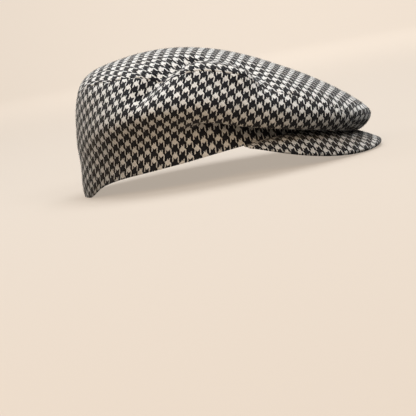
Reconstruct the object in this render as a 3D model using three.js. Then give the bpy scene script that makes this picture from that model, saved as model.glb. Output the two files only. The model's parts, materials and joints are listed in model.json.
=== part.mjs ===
// Flat cap in houndstooth wool: a three-panel crown that overhangs in front, and a cloth-covered peak.
// Millimetres, +Z up. X runs from the back of the cap to the tip of its peak, and Y to the wearer's left.
// The cap stands on a surface at z = 0, on the back of its rim and on the edge of its peak.
import * as THREE from 'three';

// Cloth
const clothThickness = 2.4;
const seamGap = 0.3;

// Rim, an egg-shaped oval around the head, with a hem that dips over the back
const rimFront = 101;
const rimBack = 116;
const rimHalfWidth = 80;
const tailDip = 6.2;
const tailDipAngle = 24;
const tailDipPower = 6;

// Peak
const peakThickness = 4.2;
const peakCornerThickness = 2.4;
const peakReach = 153;
const peakHalfWidth = 79;
const peakCornerAzimuth = 62;
const peakCornerDepth = 5;
const peakCamber = 1.8;
const peakEdgeHeight = 0.7;
const peakTipLift = 4;
const peakTipPower = 6;
const peakDroopPower = 1.85;
const peakSideRoll = 2.2;
const peakOutlinePower = 0.85;

// Crown sections around the vertical axis, from the front (azimuth 0) to the back (180), alike on both sides.
// Each row is one profile from the rim up: the waist over the rim, the lip under the overhang, the bulge
// where the crown is widest, the brow along the top seam and the dome, each with its reach and height.
const sections = [
  { azimuth: 0, rimZ: 28, waistR: 114, waistZ: 25, lipR: 135, lipZ: 17, bulgeR: 147, bulgeZ: 29,
    browR: 133, browZ: 46, domeR: 57, domeZ: 93.5 },
  { azimuth: 20, rimZ: 28, waistR: 104, waistZ: 30, lipR: 127, lipZ: 22.5, bulgeR: 138, bulgeZ: 33.5,
    browR: 125, browZ: 51.5, domeR: 56, domeZ: 94 },
  { azimuth: 40, rimZ: 27.5, waistR: 86, waistZ: 39, lipR: 112.5, lipZ: 32, bulgeR: 119.5, bulgeZ: 43,
    browR: 108, browZ: 65, domeR: 53, domeZ: 97 },
  { azimuth: 60, rimZ: 26.5, waistR: 79.5, waistZ: 46, lipR: 99, lipZ: 41.5, bulgeR: 105.5, bulgeZ: 55.5,
    browR: 89, browZ: 84, domeR: 48, domeZ: 102 },
  { azimuth: 80, rimZ: 24, waistR: 79.5, waistZ: 51, lipR: 92.5, lipZ: 51.5, bulgeR: 99.5, bulgeZ: 66,
    browR: 78, browZ: 95, domeR: 44, domeZ: 106.5 },
  { azimuth: 100, rimZ: 20.8, waistR: 84, waistZ: 45, lipR: 91, lipZ: 55, bulgeR: 98, bulgeZ: 68,
    browR: 75, browZ: 96, domeR: 43, domeZ: 109 },
  { azimuth: 120, rimZ: 17.8, waistR: 88, waistZ: 40, lipR: 94, lipZ: 52, bulgeR: 100.5, bulgeZ: 65,
    browR: 78, browZ: 97, domeR: 46, domeZ: 111 },
  { azimuth: 140, rimZ: 14, waistR: 98.5, waistZ: 30, lipR: 102.5, lipZ: 44, bulgeR: 106, bulgeZ: 59,
    browR: 86, browZ: 98, domeR: 51, domeZ: 112.8 },
  { azimuth: 160, rimZ: 6.5, waistR: 111.5, waistZ: 14, lipR: 111, lipZ: 30, bulgeR: 110.5, bulgeZ: 52,
    browR: 95, browZ: 99.5, domeR: 54, domeZ: 114 },
  { azimuth: 180, rimZ: 3.5, waistR: 115.6, waistZ: 9, lipR: 113.2, lipZ: 27, bulgeR: 112.7, bulgeZ: 50,
    browR: 99, browZ: 100, domeR: 55, domeZ: 114.4 },
];
const sectionStep = 20;
const poleHeight = 113;

// Soft dents and swells of the right side, alike on the left, each along a line from one point to another.
// A dent has its depth at either end, and a swell a depth below zero.
const folds = [
  { name: 'rear dent', from: [-41, -83, 84], to: [6, -52, 103], depthFrom: 6, depthTo: 10, width: 9 },
  { name: 'front dent', from: [70, -72, 76], to: [52, -50, 93], depthFrom: 4, depthTo: 6, width: 12 },
  { name: 'mound', from: [10, -75, 95], to: [46, -77, 85], depthFrom: -4, depthTo: -6, width: 12 },
];

// Seam between the top panel and a side panel, in three stretches: up the back from the rim, along the top,
// and down the front to the rim. Level counts the profile points up from the rim.
const seamBack = [
  { azimuth: 173, level: 0 },
  { azimuth: 172, level: 1.2 },
  { azimuth: 171, level: 2.4 },
  { azimuth: 170, level: 3.2 },
  { azimuth: 168, level: 3.7 },
];
const seamTop = [
  { azimuth: 168, level: 3.7 },
  { azimuth: 152, level: 3.95 },
  { azimuth: 125, level: 4.05 },
  { azimuth: 100, level: 3.9 },
  { azimuth: 70, level: 3.88 },
  { azimuth: 46, level: 3.92 },
  { azimuth: 34, level: 3.75 },
  { azimuth: 24, level: 3.4 },
];
const seamFront = [
  { azimuth: 13, level: 0 },
  { azimuth: 14, level: 1 },
  { azimuth: 15.5, level: 2 },
  { azimuth: 18, level: 2.8 },
  { azimuth: 24, level: 3.4 },
];

// Mesh density of the pieces
const sideColumns = 36;
const sideRows = 14;
const topRows = 14;
const peakColumns = 30;
const peakRows = 6;

// Shares of a surface over which its slope is read, and within which a point counts as on the rim
const crownSlopeStep = 0.004;
const peakSlopeStep = 0.01;
const rimTolerance = 1e-6;

const profilePoints = 6;
const radians = THREE.MathUtils.degToRad;
const lerp = THREE.MathUtils.lerp;

// Value of one column of the sections at any azimuth, smooth and alike on both sides.
function sectionValue(column, azimuth) {
  const last = sections.length - 1;
  const turn = Math.abs(((azimuth + 540) % 360) - 180) / sectionStep;
  const index = Math.min(Math.floor(turn), last - 1);
  const row = (i) => sections[i < 0 ? -i : i > last ? 2 * last - i : i][column];
  const part = turn - index;
  const startSlope = (row(index + 1) - row(index - 1)) / 2;
  const endSlope = (row(index + 2) - row(index)) / 2;
  const rise = row(index + 1) - row(index);
  return row(index) + part * (startSlope + part * (3 * rise - 2 * startSlope - endSlope
    + part * (startSlope + endSlope - 2 * rise)));
}

function rimReach(azimuth) {
  const along = Math.cos(radians(azimuth)) / (Math.cos(radians(azimuth)) > 0 ? rimFront : rimBack);
  const across = Math.sin(radians(azimuth)) / rimHalfWidth;
  return 1 / Math.hypot(along, across);
}

function rimHeight(azimuth) {
  const fromBack = Math.abs(Math.abs(((azimuth + 540) % 360) - 180) - 180) / tailDipAngle;
  return sectionValue('rimZ', azimuth) - tailDip * Math.exp(-(fromBack ** tailDipPower));
}

function ringPoint(azimuth, reach, height) {
  const angle = radians(azimuth);
  return new THREE.Vector3(reach * Math.cos(angle), -reach * Math.sin(angle), height);
}

// Half of a profile, from the rim to the dome.
function halfProfile(azimuth) {
  const points = [ringPoint(azimuth, rimReach(azimuth), rimHeight(azimuth))];
  for (const name of ['waist', 'lip', 'bulge', 'brow', 'dome']) {
    points.push(ringPoint(azimuth, sectionValue(name + 'R', azimuth), sectionValue(name + 'Z', azimuth)));
  }
  return points;
}

// Point of the crown without its folds. The profile runs over the top to the far rim, so it is smooth there.
function plainPoint(azimuth, level) {
  const near = halfProfile(azimuth);
  const far = halfProfile(azimuth + 180).reverse();
  const curve = new THREE.CatmullRomCurve3([...near, new THREE.Vector3(0, 0, poleHeight), ...far]);
  return curve.getPoint(level / (2 * profilePoints));
}

function surfaceNormal(pointAt, u, v, stepU, stepV) {
  const alongU = pointAt(u + stepU, v).sub(pointAt(u - stepU, v));
  const alongV = pointAt(u, v + stepV).sub(pointAt(u, v - stepV));
  return alongU.cross(alongV).normalize();
}

// How far the folds push a point of the crown inwards.
function foldDepth(point) {
  const mirrored = new THREE.Vector3(point.x, -Math.abs(point.y), point.z);
  let depth = 0;
  for (const fold of folds) {
    const line = new THREE.Line3(new THREE.Vector3(...fold.from), new THREE.Vector3(...fold.to));
    const share = line.closestPointToPointParameter(mirrored, true);
    const away = line.at(share, new THREE.Vector3()).distanceTo(mirrored) / fold.width;
    depth += lerp(fold.depthFrom, fold.depthTo, share) * Math.exp(-away * away);
  }
  return depth;
}

// The crown over a flat disc: its rim is the disc's edge and its top the disc's middle.
function crownPoint(u, v) {
  const level = profilePoints * (1 - Math.hypot(u, v));
  return plainPoint(THREE.MathUtils.radToDeg(Math.atan2(v, u)), Math.max(level, 0));
}

function crownNormal(u, v) {
  return surfaceNormal(crownPoint, u, v, crownSlopeStep, -crownSlopeStep);
}

function discPoint(azimuth, level) {
  const radius = 1 - level / profilePoints;
  return [radius * Math.cos(radians(azimuth)), radius * Math.sin(radians(azimuth))];
}

// Smooth line along the rows of a seam, read at a share from 0 to 1.
function seamLine(rows) {
  const curve = new THREE.SplineCurve(rows.map((row) => new THREE.Vector2(row.azimuth, row.level)));
  return (share) => curve.getPoint(share).toArray();
}

// Patch between four edges, which run in pairs along the share s and across the share t.
function edgePatch(low, high, start, end) {
  return (s, t) => [0, 1].map((k) => {
    const between = lerp(low(s)[k], high(s)[k], t) + lerp(start(t)[k], end(t)[k], s);
    return between - lerp(lerp(low(0)[k], low(1)[k], s), lerp(high(0)[k], high(1)[k], s), t);
  });
}

const backEdge = seamLine(seamBack);
const topEdge = seamLine(seamTop);
const frontEdge = seamLine(seamFront);

// Side panel, as azimuth and level over its length and height.
const tailAzimuth = seamBack[0].azimuth;
const frontAzimuth = seamFront[0].azimuth;
const rimEdge = (s) => [lerp(tailAzimuth, frontAzimuth, s), 0];
const sidePatch = edgePatch(rimEdge, topEdge, backEdge, frontEdge);

// Top panel, from the back of the rim to its front, between the two seams.
// Its columns stand where the points of the side panel's edges stand.
const topColumns = sideColumns + 2 * sideRows;
const endShare = sideRows / topColumns;
function wholeSeam(share) {
  if (share < endShare) return backEdge(share / endShare);
  if (share > 1 - endShare) return frontEdge((1 - share) / endShare);
  return topEdge((share - endShare) / (1 - 2 * endShare));
}
const rightSeam = (s) => discPoint(...wholeSeam(s));
const leftSeam = (s) => [rightSeam(s)[0], -rightSeam(s)[1]];
const tailEnd = (t) => discPoint(lerp(tailAzimuth, 360 - tailAzimuth, t), 0);
const frontEnd = (t) => discPoint(lerp(frontAzimuth, -frontAzimuth, t), 0);
const topPatch = edgePatch(rightSeam, leftSeam, tailEnd, frontEnd);

// Closed sheet of cloth from a grid of outer points and the matching grid of inner points.
function sheetGeometry(outer, inner) {
  const columns = outer.length;
  const rows = outer[0].length;
  const points = [...outer.flat(), ...inner.flat()];
  const at = (i, j, side) => side * columns * rows + i * rows + j;
  const triangles = [];
  // A quad is split along its shorter diagonal.
  const quad = (a, b, c, d) => {
    if (points[a].distanceTo(points[c]) < points[b].distanceTo(points[d])) {
      triangles.push(a, b, c, a, c, d);
    } else {
      triangles.push(a, b, d, b, c, d);
    }
  };
  for (let i = 0; i + 1 < columns; i += 1) {
    for (let j = 0; j + 1 < rows; j += 1) {
      quad(at(i, j, 0), at(i + 1, j, 0), at(i + 1, j + 1, 0), at(i, j + 1, 0));
      quad(at(i, j, 1), at(i, j + 1, 1), at(i + 1, j + 1, 1), at(i + 1, j, 1));
    }
    quad(at(i, 0, 1), at(i + 1, 0, 1), at(i + 1, 0, 0), at(i, 0, 0));
    quad(at(i, rows - 1, 0), at(i + 1, rows - 1, 0), at(i + 1, rows - 1, 1), at(i, rows - 1, 1));
  }
  for (let j = 0; j + 1 < rows; j += 1) {
    quad(at(0, j, 0), at(0, j + 1, 0), at(0, j + 1, 1), at(0, j, 1));
    quad(at(columns - 1, j, 1), at(columns - 1, j + 1, 1), at(columns - 1, j + 1, 0), at(columns - 1, j, 0));
  }
  const geometry = new THREE.BufferGeometry();
  geometry.setFromPoints(points);
  geometry.setIndex(triangles);
  geometry.computeVertexNormals();
  return geometry;
}

function grid(columns, rows, pointAt) {
  return Array.from({ length: columns + 1 }, (_, i) => (
    Array.from({ length: rows + 1 }, (_unused, j) => pointAt(i / columns, j / rows))));
}

// Outer and inner cloth point at one place of the disc. The rim's edge is level, and flat where it rests.
function clothPair(u, v) {
  const outer = crownPoint(u, v);
  const onRim = Math.hypot(u, v) > 1 - rimTolerance;
  const normal = crownNormal(u, v);
  outer.addScaledVector(normal, -foldDepth(outer));
  outer.z = Math.max(outer.z, 0);
  if (onRim) normal.setZ(0).normalize();
  const inner = outer.clone().addScaledVector(normal, -clothThickness);
  inner.z = Math.max(inner.z, 0);
  return [outer, inner];
}

// Pulls a seam edge back, square to the seam and into its panel, and no lower than the surface.
function pullBack(edge, inside, distance) {
  const before = edge.map((point) => point.clone());
  edge.forEach((point, k) => {
    const next = before[Math.min(k + 1, edge.length - 1)];
    const along = next.clone().sub(before[Math.max(k - 1, 0)]).normalize();
    const inward = inside[k].clone().sub(before[k]);
    inward.addScaledVector(along, -inward.dot(along)).normalize();
    point.addScaledVector(inward, distance);
    point.z = Math.max(point.z, 0);
  });
}

function panelGeometry(columns, rows, discAt, seamOnLow) {
  const pairs = grid(columns, rows, (s, t) => clothPair(...discAt(s, t)));
  const layers = [0, 1].map((side) => pairs.map((column) => column.map((pair) => pair[side])));
  layers.forEach((layer, side) => {
    const row = (j) => layer.map((column) => column[j]);
    const distance = side === 0 ? seamGap / 2 : seamGap;
    pullBack(row(rows), row(rows - 1), distance);
    if (seamOnLow) {
      pullBack(row(0), row(1), distance);
    } else {
      pullBack(layer[0], layer[1], distance);
      pullBack(layer[columns], layer[columns - 1], distance);
    }
  });
  return sheetGeometry(layers[0], layers[1]);
}

function mirrorY(geometry) {
  const mirrored = geometry.clone().scale(1, -1, 1);
  const index = mirrored.getIndex();
  for (let i = 0; i < index.count; i += 3) {
    const second = index.getX(i + 1);
    index.setX(i + 1, index.getX(i + 2));
    index.setX(i + 2, second);
  }
  mirrored.computeVertexNormals();
  return mirrored;
}

// Peak: its inner edge follows the front of the rim just below it, and its outer edge is a half oval that
// droops to the surface on both sides of its tip. Its sides stay level for longer and then roll down.
function peakInner(s) {
  const azimuth = peakCornerAzimuth * s;
  const reach = rimReach(azimuth) - clothThickness;
  return ringPoint(azimuth, reach, rimHeight(azimuth) - seamGap);
}

function peakOuter(s) {
  const angle = s * Math.PI / 2;
  const corner = peakInner(1);
  const cornerX = corner.x + peakCornerDepth;
  const x = lerp(cornerX, peakReach, Math.cos(angle));
  const tip = peakTipLift * Math.cos(angle) ** peakTipPower;
  const height = tip + lerp(peakEdgeHeight, corner.z - seamGap, (1 - Math.cos(angle)) ** peakDroopPower);
  const across = Math.sign(s) * Math.abs(Math.sin(angle)) ** peakOutlinePower;
  return new THREE.Vector3(x, -peakHalfWidth * across, height);
}

function peakPoint(s, t) {
  const inner = peakInner(s);
  const outer = peakOuter(s);
  const middle = Math.cos(s * Math.PI / 2);
  const fall = Math.abs(t) ** (1 + peakSideRoll * (1 - middle));
  const height = lerp(inner.z, outer.z, fall) + peakCamber * middle * 4 * t * (1 - t);
  return inner.lerp(outer, t).setZ(height);
}

function peakGeometry() {
  const shareToSide = (share) => 2 * share - 1;
  const top = grid(peakColumns, peakRows, (s, t) => peakPoint(shareToSide(s), t));
  const bottom = grid(peakColumns, peakRows, (s, t) => {
    const side = shareToSide(s);
    const normal = surfaceNormal(peakPoint, side, t, peakSlopeStep, peakSlopeStep);
    const thickness = lerp(peakCornerThickness, peakThickness, Math.cos(side * Math.PI / 2));
    const point = peakPoint(side, t).addScaledVector(normal, -thickness);
    point.z = Math.max(point.z, 0);
    return point;
  });
  return sheetGeometry(top, bottom);
}

const wool = { roughness: 0.95, metalness: 0 };
const crownTopCloth = new THREE.MeshStandardMaterial({ color: '#8f8880', ...wool });
const crownSideCloth = new THREE.MeshStandardMaterial({ color: '#7f7972', ...wool });
const peakCloth = new THREE.MeshStandardMaterial({ color: '#6f6962', ...wool });

const cap = new THREE.Group();

function addPiece(name, geometry, material) {
  const mesh = new THREE.Mesh(geometry, material);
  mesh.name = name;
  cap.add(mesh);
}

const sideDisc = (s, t) => discPoint(...sidePatch(s, t));
const sideRight = panelGeometry(sideColumns, sideRows, sideDisc, false);
addPiece('crown_top', panelGeometry(topColumns, topRows, topPatch, true), crownTopCloth);
addPiece('crown_side_right', sideRight, crownSideCloth);
addPiece('crown_side_left', mirrorY(sideRight), crownSideCloth);
addPiece('peak', peakGeometry(), peakCloth);

// The origin is on the surface, under the middle of the cap's length.
const extent = new THREE.Box3().setFromObject(cap);
cap.position.x = -(extent.min.x + extent.max.x) / 2;

export default cap;
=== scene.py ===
import json
import math

import bpy
import numpy as np
from mathutils import Matrix, Vector, noise

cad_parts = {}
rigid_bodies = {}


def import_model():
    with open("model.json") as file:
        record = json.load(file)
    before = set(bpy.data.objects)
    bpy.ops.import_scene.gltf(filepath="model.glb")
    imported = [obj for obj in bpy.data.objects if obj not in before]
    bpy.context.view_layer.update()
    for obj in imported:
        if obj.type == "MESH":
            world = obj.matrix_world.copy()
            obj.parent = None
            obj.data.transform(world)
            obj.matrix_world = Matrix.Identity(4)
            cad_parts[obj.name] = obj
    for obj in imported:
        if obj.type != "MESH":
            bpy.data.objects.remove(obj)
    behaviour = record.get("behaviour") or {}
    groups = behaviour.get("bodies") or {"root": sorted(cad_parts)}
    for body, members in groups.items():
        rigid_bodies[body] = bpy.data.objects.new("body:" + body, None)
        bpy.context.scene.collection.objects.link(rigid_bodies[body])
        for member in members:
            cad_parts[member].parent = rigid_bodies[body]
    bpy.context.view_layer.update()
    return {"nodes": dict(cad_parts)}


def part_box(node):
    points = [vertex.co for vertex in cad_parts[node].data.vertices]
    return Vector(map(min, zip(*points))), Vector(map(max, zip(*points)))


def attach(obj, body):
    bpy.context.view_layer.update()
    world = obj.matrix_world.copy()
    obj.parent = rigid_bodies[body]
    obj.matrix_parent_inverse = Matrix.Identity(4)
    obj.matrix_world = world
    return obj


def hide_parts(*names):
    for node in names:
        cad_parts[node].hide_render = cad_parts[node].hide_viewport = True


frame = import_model()
mm = 0.001  # sizes are in millimetres and angles in degrees, unless a note says otherwise
print("frame:", sorted(frame["nodes"]))


# Crown: profiles from the rim to the dome, every sectionStep from the front round to the back
crown = {
    "thickness": 2.4,
    "rimFront": 101,
    "rimBack": 116,
    "rimHalfWidth": 80,
    "rimBlend": 7,  # this close to the hem the thickness of the cloth turns level
    "tailDip": 6.2,  # the hem dips over the back
    "tailDipAngle": 24,
    "tailDipPower": 6,
    "poleHeight": 113,
    "pitch": 10.4,  # the level line of the cap tips down this far to the peak
    "sectionStep": 20,
    # height of the rim, then reach and height of waist, lip, bulge, brow and dome
    "sections": [
        (28, 114, 25, 135, 17, 147, 29, 133, 46, 57, 93.5),
        (28, 104, 30, 127, 22.5, 138, 33.5, 125, 51.5, 56, 94),
        (27.5, 86, 39, 112.5, 32, 119.5, 43, 108, 65, 53, 97),
        (26.5, 79.5, 46, 99, 41.5, 105.5, 55.5, 89, 84, 48, 102),
        (24, 79.5, 51, 92.5, 51.5, 99.5, 66, 78, 95, 44, 106.5),
        (20.8, 84, 45, 91, 55, 98, 68, 75, 96, 43, 109),
        (17.8, 88, 40, 94, 52, 100.5, 65, 78, 97, 46, 111),
        (14, 98.5, 30, 102.5, 44, 106, 59, 86, 98, 51, 112.8),
        (6.5, 111.5, 14, 111, 30, 110.5, 52, 95, 99.5, 54, 114),
        (3.5, 115.6, 9, 113.2, 27, 112.7, 50, 99, 100, 55, 114.4),
    ],
    # start, end, depth at the start and at the end, width; a swell has a depth below zero
    "folds": [
        ((-41, -83, 84), (6, -52, 103), 6, 10, 9),
        ((70, -72, 76), (52, -50, 93), 4, 6, 12),
        ((10, -75, 95), (46, -77, 85), -4, -6, 12),
    ],
    # seam between top and side panel: azimuth and level on the profile, which is 0 at the rim
    "seamBack": [(173, 0), (172, 1.2), (171, 2.4), (170, 3.2), (168, 3.7)],
    "seamTop": [
        (168, 3.7), (152, 3.95), (125, 4.05), (100, 3.9), (70, 3.88), (46, 3.92), (34, 3.75), (24, 3.4),
    ],
    "seamFront": [(13, 0), (14, 1), (15.5, 2), (18, 2.8), (24, 3.4)],
    "seamEndShare": 0.18,  # of the top panel's length, beside each end of a side panel
    "rippleSize": 34,
    "rippleHeight": 0.5,
    "fineRippleScale": 2.1,
    "fineRippleShare": 0.5,
    "slopeStep": 0.004,  # of the crown's radius, to work out which way the cloth faces
    "sideColumns": 190,
    "sideRows": 58,
    "topRows": 92,
}
sectionTable = np.array(crown["sections"])
poleLevel = (sectionTable.shape[1] + 1) // 2  # the pole comes after the rim and the five pairs of a section


def turnFromFront(azimuth):
    return np.abs((azimuth + 540) % 360 - 180)


def sectionValues(azimuth):
    turn = turnFromFront(azimuth) / crown["sectionStep"]
    last = len(sectionTable) - 1
    index = np.minimum(turn.astype(int), last - 1)
    part = (turn - index)[..., None]

    def row(i):  # the sections are mirrored past the front and the back
        i = np.abs(i)
        return sectionTable[np.where(i > last, 2 * last - i, i)]

    start = (row(index + 1) - row(index - 1)) / 2
    end = (row(index + 2) - row(index)) / 2
    rise = row(index + 1) - row(index)
    curve = 3 * rise - 2 * start - end + part * (start + end - 2 * rise)
    return row(index) + part * (start + part * curve)


def rimReach(azimuth):
    angle = np.radians(azimuth)
    along = np.cos(angle) / np.where(np.cos(angle) > 0, crown["rimFront"], crown["rimBack"])
    return 1 / np.hypot(along, np.sin(angle) / crown["rimHalfWidth"])


def rimHeight(azimuth):
    fromBack = (180 - turnFromFront(azimuth)) / crown["tailDipAngle"]
    return sectionValues(azimuth)[..., 0] - crown["tailDip"] * np.exp(-(fromBack ** crown["tailDipPower"]))


def ringPoint(azimuth, reach, height):
    angle = np.radians(azimuth)
    return np.stack([reach * np.cos(angle), -reach * np.sin(angle), height], axis=-1)


def halfProfile(azimuth):
    values = sectionValues(azimuth)
    points = [ringPoint(azimuth, rimReach(azimuth), rimHeight(azimuth))]
    for k in range(1, values.shape[-1], 2):
        points.append(ringPoint(azimuth, values[..., k], values[..., k + 1]))
    return points


# Smooth line through points, the same kind of curve as the solids have
def centripetal(points, level):
    stack = np.stack(points)
    stack = np.concatenate([2 * stack[:1] - stack[1:2], stack, 2 * stack[-1:] - stack[-2:-1]])
    index = np.clip(level.astype(int), 0, len(points) - 2)
    part = (level - index)[..., None]

    def pick(offset):
        return np.take_along_axis(stack, (index + offset)[None, ..., None], axis=0)[0]

    def step(p, q):
        return np.linalg.norm(q - p, axis=-1, keepdims=True) ** 0.5

    a, b, c, d = [pick(k) for k in range(4)]
    stepA, stepB, stepC = step(a, b), step(b, c), step(c, d)
    tangentB = ((b - a) / stepA - (c - a) / (stepA + stepB) + (c - b) / stepB) * stepB
    tangentC = ((c - b) / stepB - (d - b) / (stepB + stepC) + (d - c) / stepC) * stepB
    curve = -3 * b + 3 * c - 2 * tangentB - tangentC + part * (2 * b - 2 * c + tangentB + tangentC)
    return b + part * (tangentB + part * curve)


# Point of the crown for a place on the unit disc, whose edge is the rim and whose middle is the pole
def crownPoint(u, v):
    azimuth = np.degrees(np.arctan2(v, u))
    level = np.clip(poleLevel * (1 - np.hypot(u, v)), 0, None)
    pole = np.zeros(azimuth.shape + (3,))
    pole[..., 2] = crown["poleHeight"]
    return centripetal(halfProfile(azimuth) + [pole] + halfProfile(azimuth + 180)[::-1], level)


def discPoint(azimuth, level):
    radius = 1 - level / poleLevel
    return np.stack([radius * np.cos(np.radians(azimuth)), radius * np.sin(np.radians(azimuth))])


def unit(vectors):
    return vectors / np.maximum(np.linalg.norm(vectors, axis=-1, keepdims=True), 1e-12)


def crownNormal(u, v):
    step = crown["slopeStep"]
    alongU = crownPoint(u + step, v) - crownPoint(u - step, v)
    alongV = crownPoint(u, v - step) - crownPoint(u, v + step)
    return unit(np.cross(alongU, alongV))


def foldDepth(points):
    mirrored = points * (1, 0, 1) - np.abs(points * (0, 1, 0))
    depth = np.zeros(points.shape[:-1])
    for start, end, depthStart, depthEnd, width in crown["folds"]:
        line = np.subtract(end, start)
        share = np.clip((mirrored - start) @ line / (line @ line), 0, 1)
        away = np.linalg.norm(mirrored - start - share[..., None] * line, axis=-1) / width
        depth += (depthStart + (depthEnd - depthStart) * share) * np.exp(-away * away)
    return depth


# Slow soft waves that any worn cloth has
def ripple(points):
    share, scale = crown["fineRippleShare"], crown["fineRippleScale"]
    flat = points.reshape(-1, 3) / crown["rippleSize"]
    waves = [noise.noise(Vector(p)) + share * noise.noise(Vector(p * scale)) for p in flat]
    return crown["rippleHeight"] * np.array(waves).reshape(points.shape[:-1])


# Smooth line along the rows of a seam
def seamLine(rows):
    rows = np.array(rows, float)
    last = len(rows) - 1

    def at(share):
        place = np.asarray(share, float) * last
        index = np.clip(place.astype(int), 0, last - 1)
        part = (place - index)[..., None]
        a, b, c, d = [rows[np.clip(index + k, 0, last)] for k in (-1, 0, 1, 2)]
        start, end = (c - a) / 2, (d - b) / 2
        curve = 3 * (c - b) - 2 * start - end + part * (2 * (b - c) + start + end)
        return np.moveaxis(b + part * (start + part * curve), -1, 0)

    return at


# Patch between four edges: low and high run along s, start and end along t
def edgePatch(low, high, start, end):
    def at(s, t):
        first, last = np.zeros_like(s), np.ones_like(s)
        between = low(s) * (1 - t) + high(s) * t + start(t) * (1 - s) + end(t) * s
        lowCorners = low(first) * (1 - s) + low(last) * s
        highCorners = high(first) * (1 - s) + high(last) * s
        return between - lowCorners * (1 - t) - highCorners * t

    return at


backEdge, topEdge, frontEdge = [seamLine(crown[k]) for k in ("seamBack", "seamTop", "seamFront")]
tailAzimuth, frontAzimuth = crown["seamBack"][0][0], crown["seamFront"][0][0]
endShare = crown["seamEndShare"]


def rimEdge(s):
    return np.stack([tailAzimuth + (frontAzimuth - tailAzimuth) * s, np.zeros_like(s)])


sideAngles = edgePatch(rimEdge, topEdge, backEdge, frontEdge)


def sidePatch(s, t):
    return discPoint(*sideAngles(s, t))


def wholeSeam(share):
    back = backEdge(np.clip(share / endShare, 0, 1))
    front = frontEdge(np.clip((1 - share) / endShare, 0, 1))
    top = topEdge(np.clip((share - endShare) / (1 - 2 * endShare), 0, 1))
    return np.where(share < endShare, back, np.where(share > 1 - endShare, front, top))


topPatch = edgePatch(
    lambda s: discPoint(*wholeSeam(s)),
    lambda s: discPoint(*wholeSeam(s)) * np.array([1, -1]).reshape((2,) + (1,) * np.ndim(s)),
    lambda t: discPoint(tailAzimuth + (360 - 2 * tailAzimuth) * t, np.zeros_like(t)),
    lambda t: discPoint(frontAzimuth - 2 * frontAzimuth * t, np.zeros_like(t)),
)
edgeCrowd = np.array([0.0012, 0.004, 0.008, 0.014, 0.022])
innerStart = 0.032


# Levels from 0 to 1 that crowd at both ends, where the cloth turns round its edge
def levels(count):
    inner = np.linspace(innerStart, 1 - innerStart, count - 2 * len(edgeCrowd) - 1)
    return np.concatenate([[0], edgeCrowd, inner, 1 - edgeCrowd[::-1], [1]])


def alongGrid(points, axis):
    steps = np.linalg.norm(np.diff(points, axis=axis), axis=-1)
    start = np.zeros_like(np.take(steps, [0], axis=axis))
    return np.concatenate([start, np.cumsum(steps, axis=axis)], axis=axis)


# How far each point of a grid is from its four ends, measured on the cloth
def fromEnds(points):
    acrossS, acrossT = alongGrid(points, 0), alongGrid(points, 1)
    return {"s0": acrossS, "s1": acrossS[-1:] - acrossS, "t0": acrossT, "t1": acrossT[:, -1:] - acrossT}


def crownPanel(patch, sLevels, tLevels, rimEnds):
    s, t = np.meshgrid(sLevels, tLevels, indexing="ij")
    u, v = patch(s, t)
    outer, normal = crownPoint(u, v), crownNormal(u, v)
    outer = outer - normal * (foldDepth(outer) + ripple(outer))[..., None]
    ends = fromEnds(outer)
    edge = np.min(list(ends.values()), axis=0)
    rim = np.min([ends[k] for k in rimEnds], axis=0)
    share = np.clip(rim / crown["rimBlend"], 0, 1)
    normal[..., 2] *= share * share * (3 - 2 * share)
    return outer, unit(normal), edge


# Peak: a board from the rim out to a rounded edge, even on both sides
peak = {
    "thickness": 4.2,
    "cornerThickness": 2.4,
    "reach": 153,
    "halfWidth": 79,
    "cornerAzimuth": 62,
    "cornerDepth": 5,
    "camber": 1.8,
    "edgeHeight": 0.7,
    "tipLift": 4,  # the middle of the edge stands higher, so the peak rests on both sides of it
    "tipPower": 6,
    "droopPower": 1.85,
    "sideRoll": 2.2,  # how late the sides roll down to the edge
    "outlinePower": 0.85,
    "gap": 0.6,
    "tuck": 0.7,  # sewn into the rim this far
    "slopeStep": 0.01,  # of its length and of half its width, to work out which way the cloth faces
    "columns": 150,
    "rows": 44,
}
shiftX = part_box("peak")[1].x / mm - peak["reach"]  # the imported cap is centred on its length


def peakInner(s):
    azimuth = peak["cornerAzimuth"] * s
    return ringPoint(azimuth, rimReach(azimuth) - crown["thickness"], rimHeight(azimuth) + peak["tuck"])


def peakOuter(s):
    angle = s * math.pi / 2
    corner = peakInner(np.ones(1))[0]
    x = (corner[0] + peak["cornerDepth"]) * (1 - np.cos(angle)) + peak["reach"] * np.cos(angle)
    rise = (1 - np.cos(angle)) ** peak["droopPower"]
    z = peak["edgeHeight"] * (1 - rise) + (corner[2] - peak["gap"] - peak["tuck"]) * rise
    z = z + peak["tipLift"] * np.cos(angle) ** peak["tipPower"]
    y = -peak["halfWidth"] * np.sign(s) * np.abs(np.sin(angle)) ** peak["outlinePower"]
    return np.stack([x, y, z], axis=-1)


# Point of the peak: s runs from -1 to 1 across it, t from the rim to the edge
def peakPoint(s, t):
    inner, outer = peakInner(s), peakOuter(s)
    point = inner * (1 - t)[..., None] + outer * t[..., None]
    middle = np.cos(s * math.pi / 2)
    fall = np.abs(t) ** (1 + peak["sideRoll"] * (1 - middle))
    point[..., 2] = inner[..., 2] * (1 - fall) + outer[..., 2] * fall
    point[..., 2] += peak["camber"] * middle * 4 * t * (1 - t)
    return point


def peakSurface(sLevels, tLevels):
    s, t = np.meshgrid(sLevels, tLevels, indexing="ij")
    step = peak["slopeStep"]
    alongS = peakPoint(s + step, t) - peakPoint(s - step, t)
    alongT = peakPoint(s, t + step) - peakPoint(s, t - step)
    return peakPoint(s, t), unit(np.cross(alongS, alongT)), s


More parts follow.
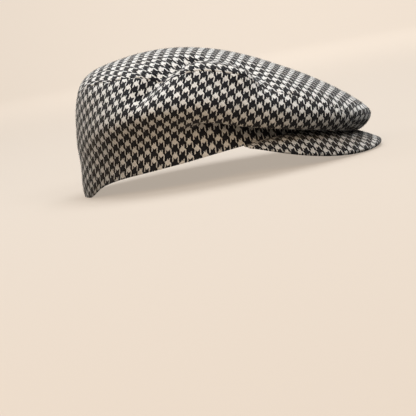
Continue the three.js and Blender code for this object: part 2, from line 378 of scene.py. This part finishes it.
# Closed cloth from an outer grid: its edges are round, and both faces meet there
def clothLayers(outer, normal, edge, thickness):
    half = np.asarray(thickness) / 2
    inside = half - np.minimum(edge, half)
    swell = np.sqrt(np.maximum(half**2 - inside**2, 0))[..., None] * normal
    middle = outer - normal * np.broadcast_to(half, edge.shape)[..., None]
    layers = [middle + swell, middle - swell]
    for layer in layers:
        layer[..., 2] = np.maximum(layer[..., 2], 0)  # flat where it rests
    return layers


# Loose wool fibres on the face of the cloth
fuzz = {
    "perSquareMetre": 450000,
    "shortest": 0.7,
    "longest": 1.7,
    "radius": 0.05,
    "sides": 3,
    "leastLean": 30,  # from upright
    "mostLean": 84,
    "floorClearance": 2.2,
    "seed": 11,
}


# Faces of a grid of points, turned round where the grid is seen from behind
def gridFaces(index, backwards=False):
    corners = [index[:-1, :-1], index[1:, :-1], index[1:, 1:], index[:-1, 1:]]
    return np.stack(corners[::-1] if backwards else corners, axis=-1).reshape(-1, 4)


def clothObject(name, layers, uv, flip=False):
    outer, inner = layers
    columns, rows = outer.shape[:2]
    first = np.arange(columns * rows).reshape(columns, rows)
    border = np.ones((columns, rows), bool)
    border[1:-1, 1:-1] = False
    second = first.copy()  # the inner face shares the outer one's border
    second[~border] = columns * rows + np.arange((~border).sum())
    points = np.concatenate([outer.reshape(-1, 3), inner[~border]])
    points[:, 0] += shiftX
    pointUv = np.concatenate([uv.reshape(-1, 2), uv[~border]])
    faces = np.concatenate([gridFaces(first, flip), gridFaces(second, not flip)])
    mesh = bpy.data.meshes.new(name)
    mesh.from_pydata((points * mm).tolist(), [], faces.tolist())
    layer = mesh.uv_layers.new(name="cloth")
    layer.data.foreach_set("uv", pointUv[faces.reshape(-1)].astype(np.float32).reshape(-1))
    mesh.polygons.foreach_set("use_smooth", np.ones(len(faces), bool))
    napped = points[faces][..., 2].min(axis=1) > fuzz["floorClearance"]
    napped[len(faces) // 2:] = False  # the inner face is smooth
    mesh.attributes.new("napped", "BOOLEAN", "FACE").data.foreach_set("value", napped)
    mesh.update()
    piece = bpy.data.objects.new(name, mesh)
    bpy.context.scene.collection.objects.link(piece)
    return piece


# Woven cloth, and how each panel is cut from it and eased by steam
cloth = {
    "repeat": (8.7, 7.7),  # across the warp and across the weft
    "yarnsPerRepeat": 8,
    "unwrapRounds": 40,
    "unwrapMargin": 0.001,
    "side": {
        "angle": 55,  # from the weft to a line along the panel
        "place": (0.48, 0.55),  # on the panel, where that angle holds
        "grid": (97, 45),  # points that are unwrapped
        # powers along the panel's length and height, then shifts across and along the cloth in repeats
        "ease": [(1, 0, 0, -1.4), (2, 0, 0.7, -0.4), (3, 0, 0.3, 0.6), (0, 2, 0, 0.4), (1, 2, -0.5, -0.6)],
    },
    "top": {
        "angle": 0,
        "place": (0.5, 0.5),
        "grid": (129, 49),
        "ease": [(1, 0, -1.1, 0), (3, 0, -0.6, 0), (0, 2, 0.6, 0), (1, 2, -0.3, 0), (1, 1, 0, -1)],
    },
    "peak": {
        "angle": 0,
        "place": (0.5, 0.5),
        "grid": (65, 25),
        "ease": [(2, 0, -0.8, 0), (1, 1, 0, -0.8)],
    },
}


# Flat cut of a panel: a coarse grid is unwrapped with little stretch and brought back to millimetres
def flatCut(grid):
    columns, rows = grid.shape[:2]
    faces = gridFaces(np.arange(columns * rows).reshape(columns, rows))
    mesh = bpy.data.meshes.new("flatCut")
    mesh.from_pydata((grid.reshape(-1, 3) * mm).tolist(), [], faces.tolist())
    cut = bpy.data.objects.new("flatCut", mesh)
    bpy.context.scene.collection.objects.link(cut)
    for other in bpy.context.view_layer.objects:
        other.select_set(False)
    bpy.context.view_layer.objects.active = cut
    cut.select_set(True)
    mesh.uv_layers.new(name="cut")
    bpy.ops.object.mode_set(mode="EDIT")
    bpy.ops.mesh.select_all(action="SELECT")
    rounds, margin = cloth["unwrapRounds"], cloth["unwrapMargin"]
    bpy.ops.uv.unwrap(method="MINIMUM_STRETCH", iterations=rounds, margin=margin)
    bpy.ops.object.mode_set(mode="OBJECT")
    loops = np.zeros(len(mesh.loops) * 2, np.float32)
    mesh.uv_layers["cut"].data.foreach_get("uv", loops)
    corner = np.zeros(len(mesh.loops), np.int32)
    mesh.loops.foreach_get("vertex_index", corner)
    flat = np.zeros((columns * rows, 2))
    flat[corner] = loops.reshape(-1, 2)
    bpy.data.objects.remove(cut)
    bpy.data.meshes.remove(mesh)
    flat = flat.reshape(columns, rows, 2)
    edges = [np.diff(g, axis=a) for g in (grid, flat) for a in (0, 1)]
    lengths = [np.linalg.norm(e, axis=-1).sum() for e in edges]
    return flat * (lengths[0] + lengths[1]) / (lengths[2] + lengths[3])


# Turns a flat cut so that a direction on the panel lies at its angle to the weft
def turnCut(grid, flat, cut, direction):
    i, j = [int(share * (count - 1)) for share, count in zip(cut["place"], grid.shape)]
    alongS, alongT = grid[i + 1, j] - grid[i - 1, j], grid[i, j + 1] - grid[i, j - 1]
    slopes = np.stack([alongS, alongT], axis=1)
    share = np.linalg.lstsq(slopes, np.array(direction, float), rcond=None)[0]
    lie = share[0] * (flat[i + 1, j] - flat[i - 1, j]) + share[1] * (flat[i, j + 1] - flat[i, j - 1])
    turn = math.radians(cut["angle"]) - math.atan2(lie[1], lie[0])
    cosine, sine = math.cos(turn), math.sin(turn)
    return (flat - flat[i, j]) @ np.array([[cosine, sine], [-sine, cosine]])


def sampleGrid(values, s, t):
    x, y = s * (values.shape[0] - 1), t * (values.shape[1] - 1)
    i = np.clip(x.astype(int), 0, values.shape[0] - 2)
    j = np.clip(y.astype(int), 0, values.shape[1] - 2)
    fx, fy = (x - i)[..., None], (y - j)[..., None]
    low = values[i, j] * (1 - fx) + values[i + 1, j] * fx
    high = values[i, j + 1] * (1 - fx) + values[i + 1, j + 1] * fx
    return low * (1 - fy) + high * fy


# Where the points of a panel lie on the cloth, in repeats, and the panel's flat cut
def clothUv(grid, cut, direction, s, t):
    flat = turnCut(grid, flatCut(grid), cut, direction)
    uv = sampleGrid(flat, s, t) / np.array(cloth["repeat"])
    for powerS, powerT, across, along in cut["ease"]:
        uv = uv + ((2 * s - 1) ** powerS * (2 * t - 1) ** powerT)[..., None] * np.array([across, along])
    return uv, flat


def crownUv(patch, sLevels, tLevels, rimEnds, cut, direction):
    sCoarse, tCoarse = [np.linspace(0, 1, count) for count in cut["grid"]]
    grid = crownPanel(patch, sCoarse, tCoarse, rimEnds)[0]
    s, t = np.meshgrid(sLevels, tLevels, indexing="ij")
    return clothUv(grid, cut, direction, s, t)


pitch = math.radians(crown["pitch"])
levelLine = (math.cos(pitch), 0, -math.sin(pitch))
lengthLine = (1, 0, 0)

sideS, sideT = levels(crown["sideColumns"]), levels(crown["sideRows"])
sideLayers = clothLayers(*crownPanel(sidePatch, sideS, sideT, ["t0"]), crown["thickness"])
sideUv, sideFlat = crownUv(sidePatch, sideS, sideT, ["t0"], cloth["side"], levelLine)
sideRight = clothObject("sidePanelRight", sideLayers, sideUv)
leftLayers = [layer * (1, -1, 1) for layer in sideLayers]
leftUv = sideUv[..., ::-1]  # the same cloth, face outwards, turned a quarter
sideLeft = clothObject("sidePanelLeft", leftLayers, leftUv, flip=True)
print("side panels:", len(sideRight.data.polygons), "faces each")

middleS = endShare + (1 - 2 * endShare) * sideS[1:-1]
topS = np.concatenate([endShare * sideT, middleS, 1 - endShare * sideT[::-1]])
topT = levels(crown["topRows"])
topLayers = clothLayers(*crownPanel(topPatch, topS, topT, ["s0", "s1"]), crown["thickness"])
topUv, topFlat = crownUv(topPatch, topS, topT, ["s0", "s1"], cloth["top"], lengthLine)
topPanel = clothObject("topPanel", topLayers, topUv)
print("top panel:", len(topPanel.data.polygons), "faces")

peakS, peakT = 2 * levels(peak["columns"]) - 1, levels(peak["rows"])
peakTop, peakNormal, peakAcross = peakSurface(peakS, peakT)
peakEdge = np.min(list(fromEnds(peakTop).values()), axis=0)
thin, thick = peak["cornerThickness"], peak["thickness"]
peakThickness = thin + (thick - thin) * np.cos(peakAcross * math.pi / 2)
peakLayers = clothLayers(peakTop, peakNormal, peakEdge, peakThickness)
coarseColumns, coarseRows = cloth["peak"]["grid"]
peakGrid = peakSurface(np.linspace(-1, 1, coarseColumns), np.linspace(0, 1, coarseRows))[0]
shareS, shareT = np.meshgrid((peakS + 1) / 2, peakT, indexing="ij")
peakUv = clothUv(peakGrid, cloth["peak"], lengthLine, shareS, shareT)[0]
peakPiece = clothObject("peakCover", peakLayers, peakUv)
print("peak:", len(peakPiece.data.polygons), "faces")


# A socket with its arithmetic
class Wire:
    def __init__(self, tree, socket=None):
        self.tree = tree
        self.socket = socket

    def node(self, kind, settings=None, sockets=None):
        added = self.tree.nodes.new(kind)
        for name, value in (settings or {}).items():
            setattr(added, name, value)
        for key, value in (sockets or {}).items():
            if isinstance(value, Wire):
                self.tree.links.new(value.socket, added.inputs[key])
            else:
                added.inputs[key].default_value = value
        return Wire(self.tree, added.outputs[0] if added.outputs else None)

    def out(self, name):
        return Wire(self.tree, self.socket.node.outputs[name])

    def maths(self, operation, *values):
        return self.node("ShaderNodeMath", {"operation": operation}, dict(enumerate(values)))

    def __add__(self, other):
        return self.maths("ADD", self, other)

    def __radd__(self, other):
        return self.maths("ADD", other, self)

    def __sub__(self, other):
        return self.maths("SUBTRACT", self, other)

    def __rsub__(self, other):
        return self.maths("SUBTRACT", other, self)

    def __mul__(self, other):
        return self.maths("MULTIPLY", self, other)

    def __rmul__(self, other):
        return self.maths("MULTIPLY", other, self)

    def __mod__(self, other):
        return self.maths("FLOORED_MODULO", self, other)

    def __lt__(self, other):
        return self.maths("LESS_THAN", self, other)


# Houndstooth wool: four dark and four light yarns each way, woven two over and two under
wool = {
    "dark": (0.004, 0.0045, 0.0065, 1),
    "darkFaded": (0.014, 0.0145, 0.018, 1),
    "ivory": (0.75, 0.74, 0.715, 1),
    "ivoryShade": (0.57, 0.55, 0.515, 1),
    "roughness": 0.92,
    "specular": 0.15,
    "sheen": 0.24,
    "sheenRoughness": 0.25,
    "sheenTint": (1, 0.96, 0.9, 1),
    "wander": {"amount": 0.55, "scale": 0.09, "detail": 1.0, "seed": 1.3},  # slow drift of the weave
    "ragged": {"amount": 0.55, "scale": 1.6, "detail": 2.0, "seed": 2.7},  # hairy edges of the checks
    "fibre": {"scale": 2.6, "detail": 3.0, "seed": 5.1},
    "twillShift": 0.5,  # of a yarn, where the twill starts against the dark band
    "darkCover": 0.4,  # of a yarn, how far dark yarns spread over the light ones they cross
    "darkSwell": 0.18,  # of a yarn, how far a band of dark yarns spreads sideways
    "floatEnd": 0.45,  # height of a yarn where it dips under, as a share
    "weaveRelief": 0.8,
    "fibreRelief": 0.7,
    "relief": 0.0007,  # metres
    "reliefStrength": 0.8,
    "yarnTone": 0.35,  # share of the tone that a whole yarn has, the rest is its fibres
    "toneRange": (0.28, 0.72),
    "warpSeed": 0.5,
    "weftSeed": 311.5,
}


def woolMaterial(name, seed):
    material = bpy.data.materials.new(name)
    material.use_nodes = True
    tree = material.node_tree
    tree.nodes.clear()
    start = Wire(tree)
    uv = start.node("ShaderNodeUVMap", {"uv_map": "cloth"})
    yarnCount = cloth["yarnsPerRepeat"]
    yarns = start.node("ShaderNodeVectorMath", {"operation": "SCALE"}, {0: uv, "Scale": yarnCount})

    def mottle(kind):
        return start.node("ShaderNodeTexNoise", {"noise_dimensions": "4D"}, {
            "Vector": yarns, "W": seed + kind["seed"], "Scale": kind["scale"], "Detail": kind["detail"]})

    def drift(vector, kind):  # moves a place on the cloth by up to an amount, in yarns
        shift = start.node("ShaderNodeVectorMath", {"operation": "SUBTRACT"},
                           {0: mottle(kind).out("Color"), 1: (0.5, 0.5, 0.5)})
        return start.node("ShaderNodeVectorMath", {"operation": "MULTIPLY_ADD"},
                          {0: shift, 1: (2 * kind["amount"],) * 3, 2: vector})

    ragged = drift(drift(yarns, wool["wander"]), wool["ragged"])
    split = start.node("ShaderNodeSeparateXYZ", {}, {"Vector": ragged})
    across, along = split.out("X"), split.out("Y")
    warp, weft = start.maths("FLOOR", across), start.maths("FLOOR", along)
    band, overUnder = yarnCount / 2, yarnCount / 4
    swell = wool["darkSwell"]
    warpDark = (across + swell) % yarnCount < band + 2 * swell
    weftDark = (along + swell) % yarnCount < band + 2 * swell
    lean = wool["darkCover"] * (2 * warpDark - 1)
    warpOver = (across + along - wool["twillShift"] + lean) % (2 * overUnder) < overUnder + 2 * lean
    dark = warpOver * warpDark + (1 - warpOver) * weftDark

    # each yarn is a round ridge that dips at the ends of its float
    def ridge(side, run):
        hump = start.maths("SINE", (side % 1) * math.pi)
        dip = start.maths("SINE", (run % overUnder) * (math.pi / overUnder))
        return hump * (wool["floatEnd"] + (1 - wool["floatEnd"]) * dip)

    warpRidge = ridge(across, warp + along)
    weftRidge = ridge(along, weft + across)
    weave = warpOver * warpRidge + (1 - warpOver) * weftRidge
    fibre = mottle(wool["fibre"])
    height = weave * wool["weaveRelief"] + fibre * wool["fibreRelief"]

    yarn = warpOver * (warp + wool["warpSeed"]) + (1 - warpOver) * (weft + wool["weftSeed"])
    yarnTone = start.node("ShaderNodeTexWhiteNoise", {"noise_dimensions": "1D"}, {"W": yarn})
    tone = start.node("ShaderNodeMapRange", {"clamp": True}, {
        "Value": yarnTone * wool["yarnTone"] + fibre * (1 - wool["yarnTone"]),
        "From Min": wool["toneRange"][0],
        "From Max": wool["toneRange"][1],
    })

    def mix(factor, first, second):  # the sockets of the node's colour form
        return start.node("ShaderNodeMix", {"data_type": "RGBA"}, {0: factor, 6: first, 7: second}).out(2)

    ivory = mix(tone, wool["ivoryShade"], wool["ivory"])
    black = mix(tone, wool["dark"], wool["darkFaded"])
    bump = start.node("ShaderNodeBump", {}, {
        "Strength": wool["reliefStrength"], "Distance": wool["relief"], "Height": height})
    shader = start.node("ShaderNodeBsdfPrincipled", {}, {
        "Base Color": mix(dark, ivory, black),
        "Roughness": wool["roughness"],
        "Specular IOR Level": wool["specular"],
        "Sheen Weight": wool["sheen"],
        "Sheen Roughness": wool["sheenRoughness"],
        "Sheen Tint": wool["sheenTint"],
        "Normal": bump,
    })
    start.node("ShaderNodeOutputMaterial", {}, {"Surface": shader})
    return material


topWool = woolMaterial("houndstoothTop", seed=1.0)
sideWool = woolMaterial("houndstoothSide", seed=4.0)
peakWool = woolMaterial("houndstoothPeak", seed=7.0)


# Tree that sows fibres over a cloth's face, each coloured by the yarn that it stands on
def fuzzTree():
    tree = bpy.data.node_groups.new("woolFuzz", "GeometryNodeTree")
    sizes = ["Density", "Shortest", "Longest", "Radius", "Least Lean", "Most Lean"]
    inputs = [("Geometry", "NodeSocketGeometry")] + [(name, "NodeSocketFloat") for name in sizes]
    inputs += [("Seed", "NodeSocketInt"), ("Material", "NodeSocketMaterial")]
    for name, kind in inputs:
        tree.interface.new_socket(name, in_out="INPUT", socket_type=kind)
    tree.interface.new_socket("Geometry", in_out="OUTPUT", socket_type="NodeSocketGeometry")
    start = Wire(tree).node("NodeGroupInput")

    def between(low, high, draw):
        return start.node("FunctionNodeRandomValue", {"data_type": "FLOAT"}, {
            2: low, 3: high, "Seed": start.out("Seed") + draw}).out(1)

    def turned(rotation, axis, angle):
        vector = start.node("ShaderNodeCombineXYZ", {}, {axis: angle})
        by = start.node("FunctionNodeEulerToRotation", {}, {0: vector})
        return start.node("FunctionNodeRotateRotation", {"rotation_space": "LOCAL"}, {0: rotation, 1: by})

    napped = start.node("GeometryNodeInputNamedAttribute", {"data_type": "BOOLEAN"}, {"Name": "napped"})
    points = start.node("GeometryNodeDistributePointsOnFaces", {}, {
        "Mesh": start.out("Geometry"), "Selection": napped, "Density": start.out("Density"),
        "Seed": start.out("Seed")})
    spun = turned(points.out("Rotation"), "Z", between(0.0, 2 * math.pi, draw=1))
    leaning = turned(spun, "X", between(start.out("Least Lean"), start.out("Most Lean"), draw=2))
    length = between(start.out("Shortest"), start.out("Longest"), draw=3)
    fibre = start.node("GeometryNodeMeshCone", {}, {
        "Vertices": fuzz["sides"], "Radius Top": 0.0, "Radius Bottom": start.out("Radius"), "Depth": 1.0})
    scale = start.node("ShaderNodeCombineXYZ", {}, {"X": 1.0, "Y": 1.0, "Z": length})
    sown = start.node("GeometryNodeInstanceOnPoints", {}, {
        "Points": points, "Instance": fibre, "Rotation": leaning, "Scale": scale})
    real = start.node("GeometryNodeRealizeInstances", {}, {"Geometry": sown})
    place = start.node("GeometryNodeInputNamedAttribute", {"data_type": "FLOAT_VECTOR"}, {"Name": "cloth"})
    mapped = start.node("GeometryNodeStoreNamedAttribute", {"data_type": "FLOAT2", "domain": "CORNER"}, {
        "Geometry": real, "Name": "cloth", "Value": place})
    worn = start.node("GeometryNodeSetMaterial", {}, {
        "Geometry": mapped, "Material": start.out("Material")})
    start.node("NodeGroupOutput", {}, {"Geometry": worn})
    return tree


def addFuzz(piece, material, tree):
    base = bpy.data.objects.new("fuzzBase", piece.data)
    bpy.context.scene.collection.objects.link(base)
    modifier = base.modifiers.new("woolFuzz", "NODES")
    modifier.node_group = tree
    values = {
        "Density": fuzz["perSquareMetre"],
        "Shortest": fuzz["shortest"] * mm,
        "Longest": fuzz["longest"] * mm,
        "Radius": fuzz["radius"] * mm,
        "Least Lean": math.radians(fuzz["leastLean"]),
        "Most Lean": math.radians(fuzz["mostLean"]),
        "Seed": fuzz["seed"],
        "Material": material,
    }
    for item in tree.interface.items_tree:
        if item.in_out == "INPUT" and item.name in values:
            modifier[item.identifier] = values[item.name]
    graph = bpy.context.evaluated_depsgraph_get()
    mesh = bpy.data.meshes.new_from_object(base.evaluated_get(graph))
    bpy.data.objects.remove(base)
    fibres = bpy.data.objects.new(piece.name + "Fuzz", mesh)
    bpy.context.scene.collection.objects.link(fibres)
    return fibres


# Cut cloth of a panel, in metres: the rectangle that holds it and its own flat area, from the unwrapped cut
def cutSize(flat):
    a, b, c, d = flat[:-1, :-1], flat[1:, :-1], flat[1:, 1:], flat[:-1, 1:]
    across, along = c - a, d - b
    area = np.abs(across[..., 0] * along[..., 1] - across[..., 1] * along[..., 0]).sum() / 2
    return tuple(np.ptp(flat.reshape(-1, 2), axis=0) * mm), area * mm**2


# piece, node that it stands for, slot, material
finishes = [
    (topPanel, "crown_top", "crown_top_cloth", topWool),
    (sideRight, "crown_side_right", "crown_side_cloth", sideWool),
    (sideLeft, "crown_side_left", "crown_side_cloth", sideWool),
    (peakPiece, "peak", "peak_cloth", peakWool),
]
cuts = {"crown_top": topFlat, "crown_side_right": sideFlat, "crown_side_left": sideFlat}
fuzzNodes = fuzzTree()
for piece, node, slot, material in finishes:
    piece.data.materials.append(material)
    fibres = addFuzz(piece, material, fuzzNodes)
    for part in (piece, fibres):
        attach(part, "root")
    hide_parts(node)
    if node in cuts:
        size, area = cutSize(cuts[node])
        print("cut:", node, [round(v, 4) for v in (*size, area)])
    print("finish:", piece.name, len(fibres.data.polygons), "fibre faces")


# Seamless studio, in metres: a floor that rises all round, far outside the views, and soft lights
studio = {
    "floorRings": (0.4, 1.2, 2.6),
    "sweepRadius": 1.2,
    "sweepSteps": 12,
    "wallHeight": 2.2,
    "sides": 96,
    "floorColour": (0.20, 0.175, 0.15, 1),
    "floorGlow": (0.432, 0.372, 0.312, 1),  # stands for light from all round, which keeps the backdrop even
    "floorRoughness": 0.9,
    "floorSpecular": 0.1,
    "worldColour": (1.0, 0.965, 0.92, 1),
    "worldStrength": 0.08,
    # name, place, aim, size, energy, colour
    "lights": [
        ("topLight", (0.1, 0.3, 1.5), (0, 0, 0.05), 1.3, 43, (0.90, 0.95, 1)),
        ("sideLight", (0.9, -0.8, 1.3), (0, 0, 0.05), 0.8, 12.5, (0.95, 0.98, 1)),
        ("warmGlow", (-0.3, -1.3, 0.85), (0, 0, 0.05), 0.8, 11.5, (1, 0.76, 0.53)),
        ("rearLight", (-1.3, 0.1, 0.6), (-0.1, 0, 0.05), 0.8, 7, (0.9, 0.95, 1)),
        ("bounceCard", (-0.02, -0.17, 0.004), (-0.02, -0.15, 1), 0.2, 0.05, (1, 0.76, 0.53)),
        ("backdropLight", (0, 1.9, 2.0), (0, 3.7, 0.5), 1.6, 118, (1, 0.99, 0.98)),
    ],
}


def floorProfile():
    edge, sweep = studio["floorRings"][-1], studio["sweepRadius"]
    profile = [(radius, 0.0) for radius in studio["floorRings"]]
    for k in range(1, studio["sweepSteps"] + 1):
        angle = k / studio["sweepSteps"] * math.pi / 2
        profile.append((edge + sweep * math.sin(angle), sweep * (1 - math.cos(angle))))
    return profile + [(profile[-1][0], studio["wallHeight"])]


def studioFloor():
    profile, sides = floorProfile(), studio["sides"]
    points, faces = [(0.0, 0.0, 0.0)], []
    for radius, height in profile:
        for k in range(sides):
            angle = 2 * math.pi * k / sides
            points.append((radius * math.cos(angle), radius * math.sin(angle), height))
    for k in range(sides):
        faces.append((0, 1 + k, 1 + (k + 1) % sides))
    for ring in range(len(profile) - 1):
        low, high = 1 + ring * sides, 1 + (ring + 1) * sides
        for k in range(sides):
            n = (k + 1) % sides
            faces.append((low + k, high + k, high + n, low + n))
    mesh = bpy.data.meshes.new("studioFloor")
    mesh.from_pydata(points, [], faces)
    mesh.polygons.foreach_set("use_smooth", [True] * len(faces))
    floor = bpy.data.objects.new("studioFloor", mesh)
    bpy.context.scene.collection.objects.link(floor)
    material = bpy.data.materials.new("paleFloor")
    material.use_nodes = True
    shader = material.node_tree.nodes["Principled BSDF"]
    shader.inputs["Base Color"].default_value = studio["floorColour"]
    shader.inputs["Emission Color"].default_value = studio["floorGlow"]
    shader.inputs["Emission Strength"].default_value = 1
    shader.inputs["Roughness"].default_value = studio["floorRoughness"]
    shader.inputs["Specular IOR Level"].default_value = studio["floorSpecular"]
    mesh.materials.append(material)
    floor.visible_diffuse = False  # the bounce card lights the undercut, not the floor's glow


def areaLight(name, place, aim, size, energy, colour):
    lamp = bpy.data.lights.new(name, "AREA")
    lamp.shape = "DISK"
    lamp.size = size
    lamp.energy = energy
    lamp.color = colour
    holder = bpy.data.objects.new(name, lamp)
    holder.location = place
    holder.rotation_euler = (Vector(aim) - Vector(place)).to_track_quat("-Z", "Y").to_euler()
    holder.visible_camera = False
    bpy.context.scene.collection.objects.link(holder)


studioFloor()
for light in studio["lights"]:
    areaLight(*light)
world = bpy.data.worlds.new("studioAir")
world.use_nodes = True
world.node_tree.nodes["Background"].inputs["Color"].default_value = studio["worldColour"]
world.node_tree.nodes["Background"].inputs["Strength"].default_value = studio["worldStrength"]
bpy.context.scene.world = world
bpy.context.scene.view_settings.view_transform = "Standard"
print("studio:", len(studio["lights"]), "lights")


# Camera: the cap tips down to its peak, so the camera leans with it
lens = {
    "yaw": 5.0,
    "rise": 6.5,
    "distance": 1300,
    "sensor": 36,
    "pixel": 0.89,  # size at the cap of one pixel of the picture
    "pixels": 416,  # width and height of the picture
    "aim": (0, 0, 20.9),
    "aimAboveMiddle": 58,  # pixels from the picture's middle up to the aim
}


def addCamera():
    yaw, rise = math.radians(lens["yaw"]), math.radians(lens["rise"])
    along, over, side = Vector(levelLine), Vector((math.sin(pitch), 0, math.cos(pitch))), Vector((0, 1, 0))
    right = along * math.cos(yaw) + side * math.sin(yaw)
    depth = side * math.cos(yaw) - along * math.sin(yaw)
    up = over * math.cos(rise) + depth * math.sin(rise)
    away = depth * math.cos(rise) - over * math.sin(rise)
    aim = Vector(lens["aim"]) + Vector((shiftX, 0, 0))
    eye = aim - away * lens["distance"]
    middle = aim - up * lens["aimAboveMiddle"] * lens["pixel"]
    forward = (middle - eye).normalized()
    camera = bpy.data.objects.new("camera", bpy.data.cameras.new("camera"))
    camera.data.sensor_width = lens["sensor"]
    camera.data.lens = lens["sensor"] * (middle - eye).length / (lens["pixels"] * lens["pixel"])
    turned = Matrix((right, right.cross(forward), -forward)).transposed()
    camera.matrix_world = Matrix.Translation(eye * mm) @ turned.to_4x4()
    bpy.context.scene.collection.objects.link(camera)
    bpy.context.scene.camera = camera


addCamera()
